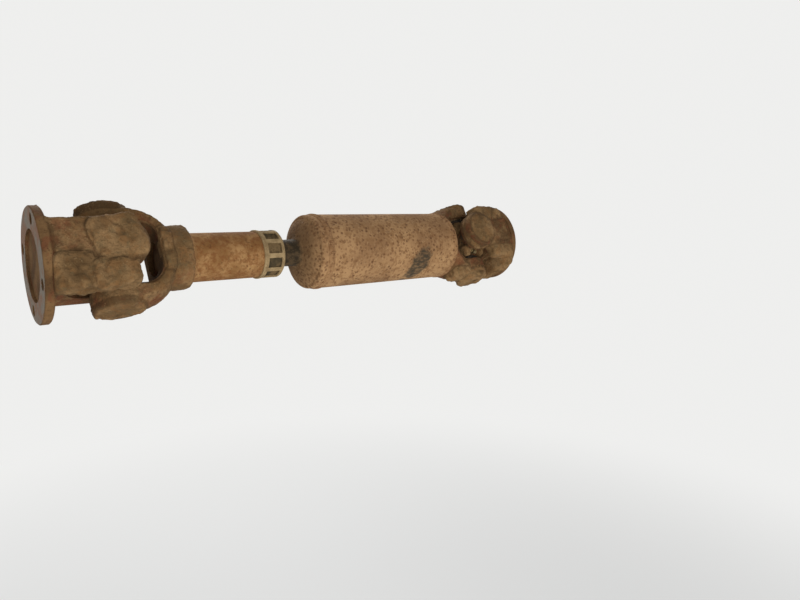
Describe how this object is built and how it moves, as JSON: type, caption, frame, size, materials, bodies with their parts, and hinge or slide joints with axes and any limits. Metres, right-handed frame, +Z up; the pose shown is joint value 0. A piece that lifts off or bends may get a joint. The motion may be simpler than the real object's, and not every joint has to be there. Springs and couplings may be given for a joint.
{
  "type": "propeller shaft",
  "caption": "Telescopic propeller shaft: flanged universal joints at both ends, a splined slip sleeve with a ribbed dust cap, and a welded tube.",
  "frame": {"origin": "centre of the gearbox flange's bolt circle, on its bolting face", "axes": "+X along the shaft towards the axle flange, +Z up as it hangs under the machine, +Y away from the picture's camera"},
  "size_m": [0.5488, 0.1002, 0.1002],
  "materials": {
    "forging": "rusted forged steel under dried mud",
    "tube": "dusty and pitted with rust",
    "weld": "rusted weld bead",
    "spline": "dark with grease",
    "bearing": "dulled steel under dust",
    "clip": "rusted spring steel",
    "cap": "pale dust in its pockets",
    "seal": "matte and dusty",
    "fitting": "dull"
  },
  "bodies": {
    "gearbox_flange": {"gearbox_flange_yoke": "forging", "gearbox_flange_cup_up": "bearing", "gearbox_flange_clip_up": "clip", "gearbox_flange_cup_down": "bearing", "gearbox_flange_clip_down": "clip"},
    "gearbox_cross": {"gearbox_cross": "forging", "gearbox_cross_seals": "seal", "gearbox_cross_nipple": "fitting"},
    "slip_yoke": {"slip_yoke": "forging", "slip_yoke_cup_up": "bearing", "slip_yoke_clip_up": "clip", "slip_yoke_cup_down": "bearing", "slip_yoke_clip_down": "clip", "throat_plug": "cap", "dust_cap": "cap", "wiper_seal": "seal", "sleeve_nipple": "fitting"},
    "tube_shaft": {"splined_stub": "spline", "tube": "tube", "stub_weld": "weld", "yoke_weld": "weld", "tube_yoke": "forging", "tube_yoke_cup_up": "bearing", "tube_yoke_clip_up": "clip", "tube_yoke_cup_down": "bearing", "tube_yoke_clip_down": "clip"},
    "axle_cross": {"axle_cross": "forging", "axle_cross_seals": "seal", "axle_cross_nipple": "fitting"},
    "axle_flange": {"axle_flange_yoke": "forging", "axle_flange_cup_up": "bearing", "axle_flange_clip_up": "clip", "axle_flange_cup_down": "bearing", "axle_flange_clip_down": "clip"}
  },
  "joints": [
    {"name": "gearbox_flange_trunnion", "type": "hinge", "parent": "gearbox_flange", "child": "gearbox_cross", "pos_m": [0.059, 0, 0], "axis": [0, -0.8829, 0.4695], "range_deg": [-20, 20]},
    {"name": "slip_yoke_trunnion", "type": "hinge", "parent": "gearbox_cross", "child": "slip_yoke", "pos_m": [0.059, 0, 0], "axis": [0, 0.4695, 0.8829], "range_deg": [-20, 20]},
    {"name": "slip", "type": "slide", "parent": "slip_yoke", "child": "tube_shaft", "axis": [1, 0, 0], "range_m": [-0.018, 0.02]},
    {"name": "tube_yoke_trunnion", "type": "hinge", "parent": "tube_shaft", "child": "axle_cross", "pos_m": [0.4898, 0, 0], "axis": [0, 0.4695, 0.8829], "range_deg": [-20, 20]},
    {"name": "axle_flange_trunnion", "type": "hinge", "parent": "axle_cross", "child": "axle_flange", "pos_m": [0.4898, 0, 0], "axis": [0, -0.8829, 0.4695], "range_deg": [-20, 20]}
  ]
}
